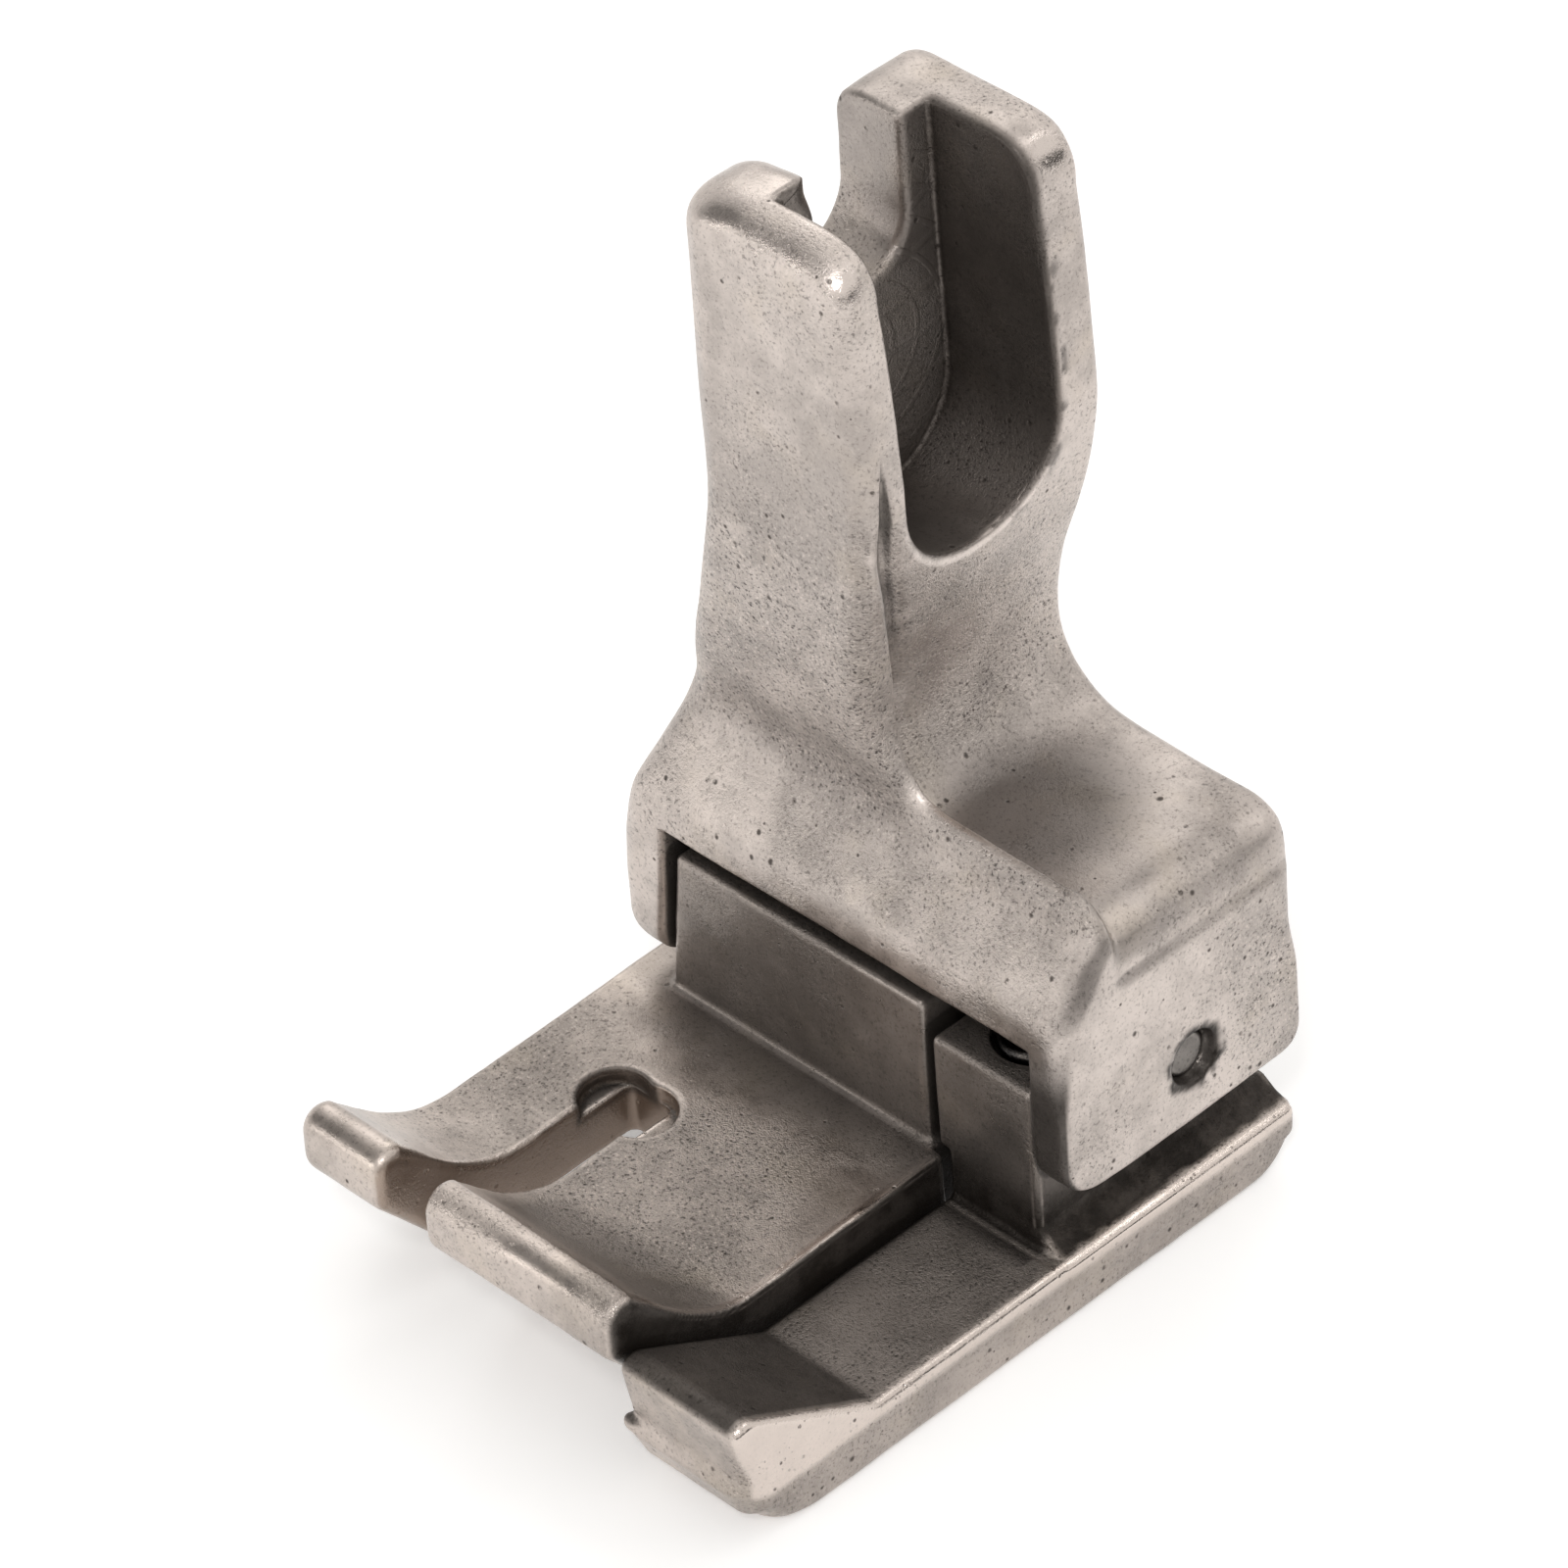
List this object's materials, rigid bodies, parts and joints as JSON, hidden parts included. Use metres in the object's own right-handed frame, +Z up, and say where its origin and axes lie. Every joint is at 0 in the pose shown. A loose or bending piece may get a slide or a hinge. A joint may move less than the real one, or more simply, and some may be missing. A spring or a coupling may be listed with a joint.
{
  "type": "compensating presser foot",
  "caption": "Compensating presser foot: slotted shank and cast yoke, with a broad slotted toe and a narrow, lower guide toe, each sprung on a shared cross pin.",
  "frame": {"origin": "where the clamp screw's axis crosses the floor of the presser-bar channel, at the bottom of the screw slot", "axes": "+X to the operator's right, -X the way the clamp screw leaves; +Y to the back of the machine; +Z up along the presser bar"},
  "size_m": [0.0216, 0.0268, 0.0398],
  "materials": {
    "yoke_steel": "cast, satin, worn and finely pitted",
    "toe_steel": "cast, satin, worn and finely pitted, polished at the noses",
    "pin_steel": "dull, oily",
    "spring_steel": "black oxide, oily"
  },
  "bodies": {
    "foot": {"yoke": "yoke_steel", "hinge_pin": "pin_steel", "left_spring": "spring_steel", "right_spring": "spring_steel"},
    "left_toe": {"left_toe": "toe_steel"},
    "right_toe": {"right_toe": "toe_steel"}
  },
  "joints": [
    {"name": "left_toe_tilt", "type": "hinge", "parent": "foot", "child": "left_toe", "pos_m": [0.0005, 0.00015, -0.0278], "axis": [-1, 0, 0], "range_deg": [0, 5], "stiffness_Nm_per_rad": 0.072, "springref_deg": -14.32, "deforming": ["left_spring"]},
    {"name": "right_toe_tilt", "type": "hinge", "parent": "foot", "child": "right_toe", "pos_m": [0.0095, 0.00015, -0.0278], "axis": [-1, 0, 0], "range_deg": [0, 18], "stiffness_Nm_per_rad": 0.06, "springref_deg": -14.32, "deforming": ["right_spring"]}
  ]
}
